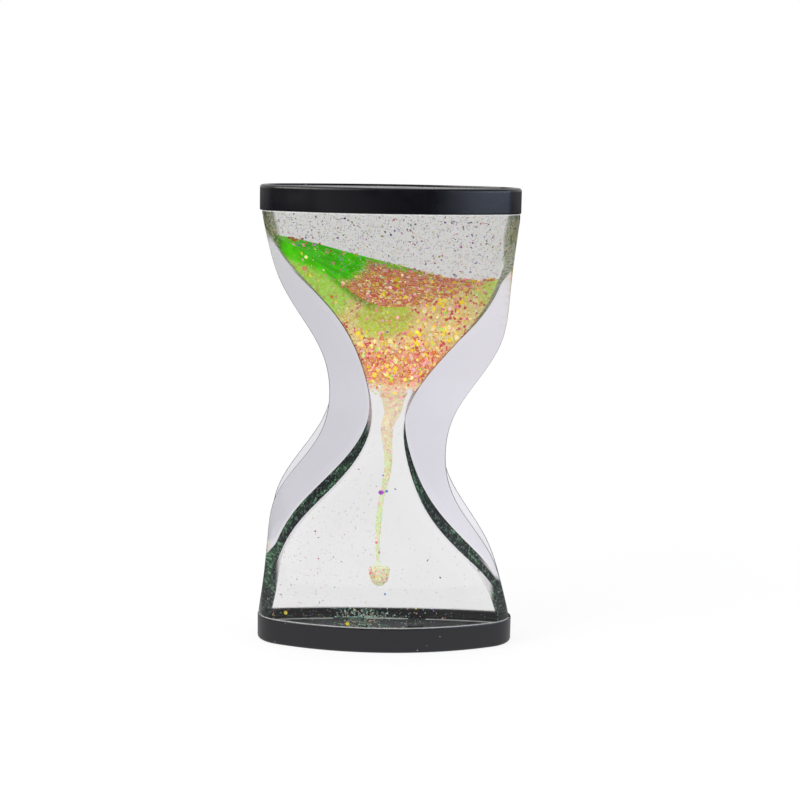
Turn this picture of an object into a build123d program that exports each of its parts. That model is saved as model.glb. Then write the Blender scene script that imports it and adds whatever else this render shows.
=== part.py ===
"""Liquid motion timer: a clear hourglass vessel between two black caps.

A heavy coloured liquid full of glitter lies in the upper chamber, trickles through the neck and
falls in drops through the clear liquid below. Millimetres, +Z up, +X to the right of the front
view, front towards -Y. The origin is the middle of the underside.
"""
import os
from math import cos, pi, sin, sqrt

from build123d import *

# Whole timer
overall_height = 140.0
cap_length = 78.8
cap_width = 36.0
cap_end_radius = 11.0

# Caps: a moulded cup with a raised rim round its flat face
cap_height = 7.6
cap_wall = 1.6
cap_floor = 2.0
cap_rim_width = 2.2
cap_recess_depth = 0.5
cap_edge_chamfer = 0.7

# Clear body: drawn in a little from the caps, with a spigot at each end that enters a cap
cap_overhang = 0.3
glue_gap = 0.1
spigot_wall = 1.5
ledge_width = 0.8

# Right side edge of the body from bottom to top. Each pair is a distance out from the cap's end,
# or from the waist, and a height from the middle. The left edge is the right one turned half round.
waist_half_width = 17.5
edge_foot_inset = 0.8
edge_below = [(-3.0, -53.0), (-6.7, -42.0), (-13.2, -31.5)]
edge_at_waist = [(1.75, -19.5), (0.0, -9.0), (1.8, 1.2), (9.4, 13.2)]
edge_above = [(-5.3, 25.0), (-3.3, 37.0), (-2.0, 50.0)]
edge_head_inset = 0.1

# Right wall of the chamber from bottom to top, out from the chamber's end or from the neck
neck_half_width = 5.0
chamber_mouth_overrun = 1.2
wall_below = [(-2.5, -52.0), (-12.8, -40.0)]
wall_at_neck = [(7.75, -28.0), (1.2, -12.0), (0.0, 0.5), (9.4, 18.0)]
wall_above = [(-7.7, 34.0), (-1.2, 50.0)]

# Seal plates, and the two plugs in the lower one
seal_thickness = 3.0
fill_plug_x = -9.5
fill_plug_radius = 4.6
vent_plug_x = 9.0
vent_plug_radius = 2.4
plug_stand = 0.5

# Liquids: the pool's surface as distances across and its depths below the chamber's ceiling, at the
# front and at the back of the caps. The trickle and the drop have flat sides between level rings.
liquid_gap = 0.15
ring_sides = 12
pool_surface = [
    (-38.0, 8.5, 9.2),
    (-21.0, 19.5, 10.5),
    (-6.0, 31.2, 14.4),
    (10.0, 30.8, 19.4),
    (25.0, 25.0, 22.8),
    (38.0, 17.5, 22.0),
]
pool_foot_rise = 7.5

# Trickle: distance across, share of the way from the pool down to the drop, and radius
trickle_sections = [
    (1.6, 0.0, 3.5),
    (1.3, 0.11, 2.2),
    (0.1, 0.22, 1.6),
    (0.3, 0.38, 1.1),
    (-0.6, 0.55, 0.85),
    (-1.9, 0.73, 0.9),
    (-2.1, 0.86, 0.6),
    (-1.6, 1.0, 0.55),
]

# Falling drop: pairs of a share of its height and a share of its radius, from its foot to its head
drop_x = -1.6
drop_radius = 2.95
drop_height = 6.1
drop_sections = [(0.0, 0.25), (0.14, 0.6), (0.34, 0.84), (0.62, 0.99), (0.8, 1.0), (1.0, 0.75)]
drop_above_floor = 12.9
drop_clearance = 0.3

# Glitter: six-sided flakes, one group for each colour
flake_widths = {"gold": 1.7, "copper": 1.5, "pink": 1.4, "violet": 1.3, "lime": 1.6}
flakes_per_colour = 4
flake_thickness = 0.2
flake_gap = 0.05
flake_spacing = 2.2
flake_margin = 2.5
settled_flakes = 6
settled_flake_width = 1.4
drop_flakes = 3
drop_flake_width = 0.9
drop_flake_ring = 1.3
drop_flake_rise = 3.4
drop_flake_tip = 50.0

# Placing of the flakes: powers of the ratio never fall into step, so the places spread evenly
spread_ratio = 1.2207440846
pool_start = 0.37
floor_start = 0.23
curve_samples = 60

# Levels and insets that follow from the sizes above
middle = overall_height / 2
low_rim = cap_height
high_rim = overall_height - cap_height
low_end = cap_floor
high_end = overall_height - cap_floor
floor_level = cap_floor + seal_thickness
ceiling_level = overall_height - floor_level
half_length = cap_length / 2
spigot_inset = cap_wall + glue_gap
mouth_inset = spigot_inset + spigot_wall
chamber_inset = mouth_inset + ledge_width
chamber_half_length = half_length - chamber_inset
pool_foot = middle + pool_foot_rise
drop_foot = floor_level + drop_above_floor
drop_head = drop_foot + drop_height


def bow_sizes(inset):
    """Half length, half width, end radius and bow radius of the plan shape drawn in by inset."""
    half = half_length - inset
    bow = cap_width / 2 - inset
    end = cap_end_radius - inset
    reach = half - end
    radius = (reach**2 + bow**2 - end**2) / (2 * (bow - end))
    return half, bow, end, radius


def bowed_slab(inset, low, high):
    """Plan shape between two levels: a long bow in front and behind, a round end at each side."""
    half, bow, end, radius = bow_sizes(inset)
    x = (half - end) * radius / (radius - end)
    y = end * (radius - bow) / (radius - end)
    front = ThreePointArc((-x, -y, low), (0, -bow, low), (x, -y, low))
    right = ThreePointArc((x, -y, low), (half, 0, low), (x, y, low))
    back = ThreePointArc((x, y, low), (0, bow, low), (-x, y, low))
    left = ThreePointArc((-x, y, low), (-half, 0, low), (-x, -y, low))
    return extrude(make_face([front, right, back, left]), high - low, dir=(0, 0, 1))


def front_slab(edges):
    """A closed outline in the front view, carried right through the timer from front to back."""
    return Pos(0, cap_width, 0) * extrude(make_face(edges), 2 * cap_width, dir=(0, -1, 0))


def turned_slab(right_points):
    """Slab with a curved right edge, and a left edge that is the right one turned half round."""
    right = [(x, 0, z) for x, z in right_points]
    left = [(-x, 0, overall_height - z) for x, z in right_points]
    head = Line(right[-1], left[0])
    foot = Line(left[-1], right[0])
    return front_slab([Spline(*right), head, Spline(*left), foot])


def front_points(half_width, pairs):
    """Front-view points from distances out from a half width and heights from the middle."""
    return [(half_width + out, middle + rise) for out, rise in pairs]


def body_edge():
    """Points of the body's right edge, from the lower cap's rim to the upper one's."""
    foot = (half_length - edge_foot_inset, low_rim)
    lower = front_points(half_length, edge_below)
    waist = front_points(waist_half_width, edge_at_waist)
    upper = front_points(half_length, edge_above)
    head = (half_length - edge_head_inset, high_rim)
    return [foot, *lower, *waist, *upper, head]


def chamber_wall(gap):
    """Points of the chamber's right wall, from its floor to its ceiling, drawn in by gap."""
    end = chamber_half_length - gap
    mouth = end + chamber_mouth_overrun
    lower = front_points(end, wall_below)
    neck = front_points(neck_half_width - gap, wall_at_neck)
    upper = front_points(end, wall_above)
    return [(mouth, floor_level), *lower, *neck, *upper, (mouth, ceiling_level)]


def chamber(gap, low, high):
    """The hourglass hollow between two levels, drawn in from its walls by gap."""
    return bowed_slab(chamber_inset + gap, low, high) & turned_slab(chamber_wall(gap))


def make_clear_body():
    """Bowed block with waved sides and a spigot at each end, cored out from both ends to the neck."""
    block = bowed_slab(cap_overhang, low_rim, high_rim) & turned_slab(body_edge())
    for low, high in ((low_end, low_rim), (high_rim, high_end)):
        block += bowed_slab(spigot_inset, low, high)
    for low, high in ((low_end, floor_level), (ceiling_level, high_end)):
        block -= bowed_slab(mouth_inset, low, high)
    return block - chamber(0.0, floor_level, ceiling_level)


def make_bottom_cap():
    """A cup with a broken outer edge, and a shallow panel inside its raised rim."""
    cup = bowed_slab(0.0, 0.0, cap_height)
    cup = chamfer(cup.edges().group_by(Axis.Z)[0], cap_edge_chamfer)
    hollow = bowed_slab(cap_wall, cap_floor, cap_height)
    panel = bowed_slab(cap_rim_width, 0.0, cap_recess_depth)
    return cup - hollow - panel


def turned_over(shape):
    """The same moulding at the other end of the timer."""
    return Pos(0, 0, overall_height) * Rot(0, 180, 0) * shape


def make_plug(x, radius, gap):
    """Plug pressed through the lower plate, a little proud of it in the chamber, widened by gap."""
    return extrude(Pos(x, 0, low_end) * Circle(radius + gap), seal_thickness + plug_stand + gap)


def pool_lines(lift):
    """The pool's surface, lifted by the given amount, as its line in front and its line behind."""
    y = cap_width / 2
    front = [(x, -y, ceiling_level - depth + lift) for x, depth, _ in pool_surface]
    back = [(x, y, ceiling_level - depth + lift) for x, _, depth in pool_surface]
    return Spline(*front), Spline(*back)


def liquid_between(lift, level):
    """What lies between a level and the pool's surface, which is ruled from its front to its back."""
    faces = []
    for line in pool_lines(lift):
        left = line @ 0
        right = line @ 1
        far_left = Vector(left.X, left.Y, level)
        far_right = Vector(right.X, right.Y, level)
        sides = [Line(right, far_right), Line(far_right, far_left), Line(far_left, left)]
        faces.append(make_face([line, *sides]))
    return loft(faces, ruled=True)


def ring_skin(rings):
    """Solid with flat sides between level rings, each given by its x, its height and its radius."""
    turns = [2 * pi * number / ring_sides for number in range(ring_sides)]
    loops = []
    for x, z, radius in rings:
        loops.append([(x + radius * cos(turn), radius * sin(turn), z) for turn in turns])
    outlines = [loops[0], loops[-1]]
    for low, high in zip(loops, loops[1:]):
        for side in range(ring_sides):
            outlines.append([low[side - 1], low[side], high[side], high[side - 1]])
    return Solid(Shell([Face(Wire.make_polygon(outline)) for outline in outlines]))


def make_trickle(gap):
    """Thread of coloured liquid from the pool's foot to just above the drop, widened by gap."""
    top = pool_foot - liquid_gap + gap
    fall = top - (drop_head + drop_clearance - gap)
    return ring_skin([(x, top - share * fall, radius + gap) for x, share, radius in trickle_sections])


def make_drop(gap):
    """Falling drop, tapered below and flat on top, widened by gap all round."""
    low = drop_foot - gap
    tall = drop_height + 2 * gap
    radius = drop_radius + gap
    return ring_skin([(drop_x, low + up * tall, out * radius) for up, out in drop_sections])


def spread(index, start):
    """Three evenly spread shares between 0 and 1 for the given index."""
    return [(start + index / spread_ratio**power) % 1.0 for power in (1, 2, 3)]


def flake(width, gap):
    """Six-sided flake about the origin, widened by gap."""
    tall = flake_thickness + 2 * gap
    return Pos(0, 0, -tall / 2) * extrude(RegularPolygon(width / 2 + gap, 6), tall)


def depth_at(x):
    """Half the chamber's depth from front to back at a distance across."""
    half, bow, end, radius = bow_sizes(chamber_inset)
    if abs(x) < (half - end) * radius / (radius - end):
        return sqrt(radius**2 - x**2) - (radius - bow)
    return sqrt(max(end**2 - (abs(x) - half + end) ** 2, 0.0))


def along(curve):
    """Close points along a curve."""
    return [curve @ (number / curve_samples) for number in range(curve_samples + 1)]


def crossing(points, level):
    """Distance across at which a front-view edge, given by close points, passes a level."""
    for low, high in zip(points, points[1:]):
        if low.Z <= level <= high.Z:
            return low.X + (high.X - low.X) * (level - low.Z) / (high.Z - low.Z)
    raise ValueError("the edge doesn't reach this level")


def apart(spot, places):
    """Whether a spot keeps the flakes' spacing from the places taken so far."""
    return all((spot - place.position).length > flake_spacing for place in places)


def lowest_near(points, x):
    """Lowest of a line's close points near a distance across."""
    return min(point.Z for point in points if abs(point.X - x) < 2 * flake_margin)


def pool_places(count):
    """Tumbled places for flakes in the coloured pool, a margin clear of its outside."""
    wall = along(Spline(*[(x, 0, z) for x, z in chamber_wall(0.0)]))
    front, back = [along(line) for line in pool_lines(0.0)]
    lowest = pool_foot + flake_margin
    highest = max(point.Z for point in front + back)
    places = []
    index = 0
    while len(places) < count:
        index += 1
        across, deep, up = spread(index, pool_start)
        level = lowest + up * (highest - lowest)
        right = crossing(wall, level) - flake_margin
        left = -crossing(wall, overall_height - level) + flake_margin
        x = left + across * (right - left)
        y = (2 * deep - 1) * (depth_at(x) - flake_margin)
        spot = Vector(x, y, level)
        low, high = [lowest_near(line, x) for line in (front, back)]
        roof = low + (high - low) * (y / cap_width + 0.5)
        if left < right and level < roof - flake_margin and apart(spot, places):
            places.append(Pos(spot) * Rot(360 * deep, 360 * up, 360 * across))
    return places


def settled_places(count):
    """Places for flakes lying flat on the lower plate, clear of the plugs and of the drop's path."""
    level = floor_level + flake_thickness / 2
    taken = [(fill_plug_x, fill_plug_radius), (vent_plug_x, vent_plug_radius), (drop_x, drop_radius)]
    reach = chamber_half_length - cap_end_radius / 2
    places = []
    index = 0
    while len(places) < count:
        index += 1
        across, deep, turn = spread(index, floor_start)
        x = (2 * across - 1) * reach
        y = (2 * deep - 1) * (depth_at(x) - flake_margin)
        spot = Vector(x, y, level)
        ways = [(spot - Vector(other, 0, level)).length - radius for other, radius in taken]
        if min(ways) > settled_flake_width and apart(spot, places):
            places.append(Pos(spot) * Rot(0, 0, 360 * turn))
    return places


def drop_places(count):
    """Places for flakes in a ring inside the drop, each tipped a different way."""
    centre = Pos(drop_x, 0, drop_foot + drop_flake_rise)
    ring = [centre * Rot(0, 0, 360 * number / count) for number in range(count)]
    tips = [Pos(drop_flake_ring, 0, 0) * Rot(0, drop_flake_tip * number, 0) for number in range(count)]
    return [turn * tip for turn, tip in zip(ring, tips)]


def flakes_at(places, width, gap):
    """Flakes of one width at the given places, widened by gap."""
    shape = flake(width, gap)
    return [place * shape for place in places]


clear_body = make_clear_body()
bottom_cap = make_bottom_cap()
plain_plate = bowed_slab(mouth_inset + glue_gap, low_end, floor_level)
plug_sizes = [(fill_plug_x, fill_plug_radius), (vent_plug_x, vent_plug_radius)]

pool = chamber(liquid_gap, pool_foot, ceiling_level) & liquid_between(0.0, pool_foot)
colours = list(flake_widths)
places = pool_places(flakes_per_colour * len(colours))
places_by_colour = {colour: places[number :: len(colours)] for number, colour in enumerate(colours)}
for colour in colours:
    pool -= flakes_at(places_by_colour[colour], flake_widths[colour], flake_gap)

in_drop = drop_places(drop_flakes)
falling_drop = make_drop(0.0) - flakes_at(in_drop, drop_flake_width, flake_gap)

top_of_liquid = ceiling_level - liquid_gap
upper_clear_liquid = chamber(liquid_gap, middle, top_of_liquid)
upper_clear_liquid &= liquid_between(liquid_gap, top_of_liquid)

on_floor = settled_places(settled_flakes)
lower_clear_liquid = chamber(liquid_gap, floor_level + liquid_gap, pool_foot - liquid_gap)
lower_clear_liquid -= make_trickle(liquid_gap)
lower_clear_liquid -= make_drop(drop_clearance)
lower_clear_liquid -= flakes_at(on_floor, settled_flake_width, flake_gap)
lower_clear_liquid -= [make_plug(x, radius, liquid_gap) for x, radius in plug_sizes]

nodes = {
    "clear_body": clear_body,
    "top_cap": turned_over(bottom_cap),
    "bottom_cap": bottom_cap,
    "top_seal_plate": turned_over(plain_plate),
    "bottom_seal_plate": plain_plate - [make_plug(x, radius, glue_gap) for x, radius in plug_sizes],
    "fill_plug": make_plug(fill_plug_x, fill_plug_radius, 0.0),
    "vent_plug": make_plug(vent_plug_x, vent_plug_radius, 0.0),
    "upper_clear_liquid": upper_clear_liquid,
    "lower_clear_liquid": lower_clear_liquid,
    "coloured_liquid": pool,
    "trickle": make_trickle(0.0),
    "falling_drop": falling_drop,
    "drop_glitter": Compound(children=flakes_at(in_drop, drop_flake_width, 0.0)),
    "settled_glitter": Compound(children=flakes_at(on_floor, settled_flake_width, 0.0)),
}
for colour in colours:
    group = flakes_at(places_by_colour[colour], flake_widths[colour], 0.0)
    nodes[colour + "_glitter"] = Compound(children=group)

os.makedirs("parts", exist_ok=True)
for name, shape in nodes.items():
    export_step(shape, os.path.join("parts", name + ".step"))
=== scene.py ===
from math import cos, pi, radians, sin

import bmesh
import bpy
import numpy as np
from bpy.props import FloatProperty, FloatVectorProperty, IntProperty, PointerProperty
from mathutils import Matrix, Vector


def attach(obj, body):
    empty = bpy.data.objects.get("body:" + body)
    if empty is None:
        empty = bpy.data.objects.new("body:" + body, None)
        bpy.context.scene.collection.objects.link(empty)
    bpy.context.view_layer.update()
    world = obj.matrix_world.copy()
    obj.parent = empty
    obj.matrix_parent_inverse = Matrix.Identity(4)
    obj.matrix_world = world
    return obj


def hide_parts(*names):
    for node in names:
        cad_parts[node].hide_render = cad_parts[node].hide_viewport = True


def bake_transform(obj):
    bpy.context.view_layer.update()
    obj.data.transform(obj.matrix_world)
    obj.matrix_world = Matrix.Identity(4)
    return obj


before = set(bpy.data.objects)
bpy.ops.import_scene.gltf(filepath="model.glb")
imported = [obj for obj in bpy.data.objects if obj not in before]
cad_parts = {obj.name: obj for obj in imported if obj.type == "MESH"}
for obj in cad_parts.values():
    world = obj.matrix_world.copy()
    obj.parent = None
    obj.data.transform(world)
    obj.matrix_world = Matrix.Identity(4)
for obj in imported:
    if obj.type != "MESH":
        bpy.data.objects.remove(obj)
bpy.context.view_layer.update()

bl_info = {
    "name": "Liquid motion timer",
    "version": (1, 0, 0),
    "blender": (4, 5, 0),
    "location": "View3D > Sidebar > Timer",
    "description": "Dresses the liquid motion timer: clear vessel, black caps, glitter liquid and stage",
    "category": "Object",
}

# Sizes below are in millimetres, as in the part's source, and meshes are made in metres
MM = 0.001
HEIGHT = 140.0
HALF_LENGTH = 39.4
HALF_WIDTH = 18.0
END_RADIUS = 11.0
CAP_HEIGHT = 7.6
CAP_FLOOR = 2.0
CAP_WALL = 1.6
CAP_RECESS = 0.5
CAP_LIP = 0.2
FLOOR = 5.0
CEILING = HEIGHT - FLOOR
BODY_INSET = 0.3
SPIGOT_INSET = 1.7
MOUTH_INSET = 3.2
CHAMBER_INSET = 4.0
CHAMBER_HALF = HALF_LENGTH - CHAMBER_INSET
UNCUT_SLACK = 0.02

# Plugs in the lower plate: distance across and radius, and how far they stand out of it
PLUGS = [(-9.5, 4.6), (9.0, 2.4)]
PLUG_STAND = 0.5

# Front-view lines, from the bottom to the top: the body's right edge and the chamber's right wall
EDGE_POINTS = [
    (38.6, 7.6), (36.4, 17.0), (32.7, 28.0), (26.2, 38.5), (19.25, 50.5), (17.5, 61.0),
    (19.3, 71.2), (26.9, 83.2), (34.1, 95.0), (36.1, 107.0), (37.4, 120.0), (39.3, 132.4),
]
WALL_POINTS = [
    (36.6, 5.0), (32.9, 18.0), (22.6, 30.0), (12.75, 42.0), (6.2, 58.0), (5.0, 70.5),
    (14.4, 88.0), (27.7, 104.0), (34.2, 120.0), (36.6, 135.0),
]

# The coloured pool's surface: distance across, and its height at the front and the back of the caps
POOL_SURFACE = [
    (-38.0, 126.5, 125.8), (-21.0, 115.5, 124.5), (-6.0, 103.8, 120.6), (10.0, 104.2, 115.6),
    (25.0, 110.0, 112.2), (38.0, 117.5, 113.0),
]
POOL_FOOT = 77.5
POOL_GAP = 0.9

# Near its foot the pool draws in and breaks up into flecks, save where the stream leaves it
FOOT_ROUND = 2.4
FOOT_TALL = 4.0
FOOT_FADE = 6.6
STREAM_X = 1.6
STREAM_NEAR = 2.2
STREAM_FAR = 4.2

# The trickle's middle line: across, height and radius
TRICKLE_POINTS = [
    (1.6, 77.3, 3.5), (1.5, 74.9, 3.0), (1.4, 71.8, 2.3), (0.2, 68.6, 1.9), (-0.1, 65.5, 1.6),
    (0.1, 62.4, 1.35), (0.4, 56.2, 1.05), (-0.1, 51.5, 0.95), (-0.7, 48.3, 0.8), (-1.6, 43.6, 0.7),
    (-2.0, 38.9, 0.85), (-2.2, 34.1, 0.75), (-2.2, 29.4, 0.55), (-1.9, 24.4, 0.5),
]

# The falling drop, and its outline as shares of its radius and of its height
DROP_X = -1.6
DROP_FOOT = 17.9
DROP_HEIGHT = 6.1
DROP_RADIUS = 2.95
DROP_OUTLINE = [
    (0.0, 0.0), (0.3, 0.025), (0.6, 0.14), (0.84, 0.34), (0.98, 0.6), (1.0, 0.78), (0.93, 0.92),
    (0.72, 0.985), (0.0, 1.0),
]


# Shader sockets and nodes


class Wire:
    """A shader socket. Sums, products and comparisons of wires and numbers add their Math nodes."""

    def __init__(self, tree, socket=None):
        self.tree = tree
        self.socket = socket

    def node(self, kind, settings=None, inputs=None, output=0):
        """Adds a node of a kind, makes its settings, sets or links its sockets and gives one output."""
        made = self.tree.nodes.new(kind)
        for key, value in (settings or {}).items():
            if key == "bands":
                set_bands(made.color_ramp, value)
            else:
                setattr(made, key, value)
        for key, value in (inputs or {}).items():
            if isinstance(value, Wire):
                self.tree.links.new(value.socket, made.inputs[key])
            else:
                made.inputs[key].default_value = value
        return Wire(self.tree, made.outputs[output] if len(made.outputs) else None)

    def math(self, operation, *values):
        """Result of one Math node."""
        return self.node("ShaderNodeMath", {"operation": operation}, dict(enumerate(values)))

    def __add__(self, other):
        return self.math("ADD", self, other)

    def __sub__(self, other):
        return self.math("SUBTRACT", self, other)

    def __rsub__(self, other):
        return self.math("SUBTRACT", other, self)

    def __mul__(self, other):
        return self.math("MULTIPLY", self, other)

    def __truediv__(self, other):
        return self.math("DIVIDE", self, other)

    def __abs__(self):
        return self.math("ABSOLUTE", self)

    def __gt__(self, other):
        return self.math("GREATER_THAN", self, other)

    def __lt__(self, other):
        return self.math("LESS_THAN", self, other)

    def largest(self, other):
        """The larger of this wire and another value."""
        return self.math("MAXIMUM", self, other)

    def ease(self, low, high, start=0.0, end=1.0):
        """Runs smoothly from start at low to end at high."""
        ranges = {"From Min": low, "From Max": high, "To Min": start, "To Max": end}
        return self.node(
            "ShaderNodeMapRange", {"interpolation_type": "SMOOTHSTEP"}, {"Value": self, **ranges}
        )

    def mix(self, first, second):
        """Colour that goes from the first to the second as this wire goes from 0 to 1."""
        return self.node("ShaderNodeMix", {"data_type": "RGBA"}, {0: self, 6: first, 7: second}, 2)


def set_bands(ramp, bands):
    """Gives a colour ramp its bands, each a place where it starts and a colour."""
    while len(ramp.elements) < len(bands):
        ramp.elements.new(1.0)
    for element, (place, colour) in zip(ramp.elements, bands):
        element.position = place
        element.color = opaque(colour)
    ramp.interpolation = "CONSTANT"


def opaque(colour):
    """A colour with full alpha."""
    return (*colour[:3], 1.0)


def times(colour, share):
    """A colour times a number, with full alpha."""
    return opaque([share * c for c in colour])


def new_finish(name):
    """An empty material, and the wire that starts its nodes."""
    material = bpy.data.materials.new(name)
    material.use_nodes = True
    material.node_tree.nodes.clear()
    return material, Wire(material.node_tree)


def principled(start, inputs):
    """Principled surface with the given sockets."""
    return start.node("ShaderNodeBsdfPrincipled", None, inputs)


def mixed(share, first, second):
    """Surface that goes from the first to the second as a share goes from 0 to 1."""
    return share.node("ShaderNodeMixShader", None, {0: share, 1: first, 2: second})


def show(surface):
    """Joins a surface to the material's output."""
    surface.node("ShaderNodeOutputMaterial", None, {"Surface": surface})


def object_place(start):
    """Object coordinates."""
    return start.node("ShaderNodeTexCoord", None, None, "Object")


def axis_of(place, axis):
    """One axis of a place, in metres, or of a direction."""
    return place.node("ShaderNodeSeparateXYZ", None, {0: place}, axis)


def axis_mm(place, axis):
    """One axis of a place, in millimetres."""
    return axis_of(place, axis) / MM


def kept_value(start, name):
    """A number that the mesh keeps at each point."""
    return start.node("ShaderNodeAttribute", {"attribute_name": name}, None, "Fac")


def noise(place, scale, detail=2.0):
    """Smooth noise between 0 and 1, scale times a metre."""
    return place.node("ShaderNodeTexNoise", None, {"Vector": place, "Scale": scale, "Detail": detail})


def cells(place, scale, output):
    """Cells of random colour or distance, scale times a metre."""
    return place.node("ShaderNodeTexVoronoi", None, {"Vector": place, "Scale": scale}, output)


def first_of(colour):
    """The red share of a colour, as a random number of a cell."""
    return colour.node("ShaderNodeSeparateColor", None, {0: colour}, 0)


def fleck_ramp(chance, colours):
    """Even bands of colour that a cell's random number picks from."""
    bands = [(number / len(colours), colour) for number, colour in enumerate(colours)]
    return chance.node("ShaderNodeValToRGB", {"bands": bands}, {0: chance})


def bump(height, strength, depth):
    """Normal of a bumpy surface, its depth in metres."""
    return height.node("ShaderNodeBump", None, {"Height": height, "Strength": strength, "Distance": depth})


# Curves, plan shapes and meshes


def smooth_line(points, count):
    """Cubic spline through points by chord length: slopes keep the bend even through each inner
    point, and an end's slope is that of the parabola through three points."""
    points = np.asarray(points, float)
    steps = np.linalg.norm(np.diff(points, axis=0), axis=1)
    knots = np.concatenate([[0.0], np.cumsum(steps)])
    rates = np.diff(points, axis=0) / steps[:, None]
    system = np.eye(len(points))
    wanted = np.zeros_like(points)
    wanted[0] = rates[0] + (rates[0] - rates[1]) * steps[0] / (steps[0] + steps[1])
    wanted[-1] = rates[-1] + (rates[-1] - rates[-2]) * steps[-1] / (steps[-1] + steps[-2])
    inner = np.arange(1, len(points) - 1)
    before = steps[inner - 1]
    after = steps[inner]
    system[inner, inner - 1] = after
    system[inner, inner] = 2 * (before + after)
    system[inner, inner + 1] = before
    wanted[inner] = 3 * (rates[inner - 1] * after[:, None] + rates[inner] * before[:, None])
    slopes = np.linalg.solve(system, wanted)
    along = np.linspace(0.0, knots[-1], count)
    span = np.clip(np.searchsorted(knots, along, side="right") - 1, 0, len(steps) - 1)
    step = steps[span][:, None]
    t = (along - knots[span])[:, None] / step
    start = (1 + 2 * t) * (1 - t) ** 2 * points[span] + t * (1 - t) ** 2 * step * slopes[span]
    return start + t**2 * (3 - 2 * t) * points[span + 1] + t**2 * (t - 1) * step * slopes[span + 1]


LINE_SAMPLES = 1200
EDGE = smooth_line(EDGE_POINTS, LINE_SAMPLES)
WALL = smooth_line(WALL_POINTS, LINE_SAMPLES)
POOL_FRONT = smooth_line([(x, front) for x, front, _ in POOL_SURFACE], LINE_SAMPLES)
POOL_BACK = smooth_line([(x, back) for x, _, back in POOL_SURFACE], LINE_SAMPLES)


def right_edge(level):
    """The body's right edge at a height; the left one is the right one turned half round."""
    return np.interp(level, EDGE[:, 1], EDGE[:, 0])


def right_wall(level):
    """The chamber's right wall at a height, no further out than the chamber's end."""
    return np.minimum(np.interp(level, WALL[:, 1], WALL[:, 0]), CHAMBER_HALF - UNCUT_SLACK)


def left_wall(level):
    """The chamber's left wall, the right one turned half round."""
    return -right_wall(HEIGHT - level)


def plan_sizes(inset):
    """Half length, half width, end radius and bow radius of the plan shape drawn in by inset."""
    half = HALF_LENGTH - inset
    bow = HALF_WIDTH - inset
    end = END_RADIUS - inset
    radius = ((half - end) ** 2 + bow**2 - end**2) / (2 * (bow - end))
    return half, bow, end, radius


def half_depth(x, inset):
    """Half the depth of the plan shape at a distance across: a long bow, then a round end."""
    half, bow, end, radius = plan_sizes(inset)
    x = np.abs(x)
    long_bow = np.sqrt(np.maximum(radius**2 - x**2, 0.0)) - (radius - bow)
    round_end = np.sqrt(np.maximum(end**2 - np.maximum(x - half + end, 0.0) ** 2, 0.0))
    return np.where(x < (half - end) * radius / (radius - end), long_bow, round_end)


def corner_arc(x, inset, corner, side):
    """Middle of the round where the front meets a side, and the angle at which the front leaves it."""
    half, bow, end, radius = plan_sizes(inset + corner)
    middle_x = x - side * corner
    middle_y = -half_depth(middle_x, inset + corner)
    in_bow = np.abs(middle_x) < (half - end) * radius / (radius - end)
    out_x = np.where(in_bow, middle_x, middle_x - side * (half - end))
    out_y = np.where(in_bow, middle_y - (radius - bow), middle_y)
    return middle_x, middle_y, np.arctan2(out_y, out_x)


def cut_rings(level, inset, left, right, corner, front_count, corner_count):
    """Level rings of the plan shape cut off at a left and a right side, counter-clockwise from above:
    the front runs from side to side, with a round at each corner, and the back mirrors it."""
    level, inset, left, right, corner = np.broadcast_arrays(level, inset, left, right, corner)
    right_x, right_y, right_turn = corner_arc(right, inset, corner, 1)
    left_x, left_y, left_turn = corner_arc(left, inset, corner, -1)
    share = np.linspace(0.0, 1.0, corner_count)
    left_angle = pi + share * (left_turn[:, None] + pi)
    right_angle = right_turn[:, None] * (1 - share)
    start = left_x + corner * np.cos(left_turn)
    stop = right_x + corner * np.cos(right_turn)
    sweep = np.sin(np.linspace(-pi / 2, pi / 2, front_count))[1:-1]
    run_x = ((start + stop)[:, None] + (stop - start)[:, None] * sweep) / 2
    run_y = -half_depth(run_x, inset[:, None])
    round_by = corner[:, None]
    xs = [left_x[:, None] + round_by * np.cos(left_angle), run_x]
    ys = [left_y[:, None] + round_by * np.sin(left_angle), run_y]
    xs.append(right_x[:, None] + round_by * np.cos(right_angle))
    ys.append(right_y[:, None] + round_by * np.sin(right_angle))
    x = np.concatenate(xs, axis=1)
    y = np.concatenate(ys, axis=1)
    x = np.concatenate([x, x[:, ::-1]], axis=1)
    y = np.concatenate([y, -y[:, ::-1]], axis=1)
    return np.stack([x, y, np.broadcast_to(level[:, None], x.shape)], axis=-1)


def grid_faces(rows, columns, close_rows, close_columns):
    """Four-sided faces between neighbours of a grid of points, joined round where it closes."""
    row = np.arange(rows if close_rows else rows - 1)[:, None]
    column = np.arange(columns if close_columns else columns - 1)[None, :]
    next_row = (row + 1) % rows
    next_column = (column + 1) % columns
    corners = [(row, column), (row, next_column), (next_row, next_column), (next_row, column)]
    return np.stack([a * columns + b for a, b in corners], axis=-1).reshape(-1, 4)


def tube_faces(rows, columns):
    """Faces of a grid that closes round, with a lid at each end."""
    faces = grid_faces(rows, columns, False, True).tolist()
    faces.append(list(range(columns))[::-1])
    faces.append(list(range((rows - 1) * columns, rows * columns)))
    return faces


def new_piece(name, points, faces, materials, smooth=True):
    """Mesh object from points in millimetres and faces, with its materials."""
    mesh = bpy.data.meshes.new(name)
    mesh.from_pydata(np.asarray(points, float).reshape(-1, 3) * MM, [], faces)
    for material in materials:
        mesh.materials.append(material)
    mesh.polygons.foreach_set("use_smooth", np.full(len(mesh.polygons), smooth))
    mesh.update()
    piece = bpy.data.objects.new(name, mesh)
    bpy.context.scene.collection.objects.link(piece)
    return piece


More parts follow.
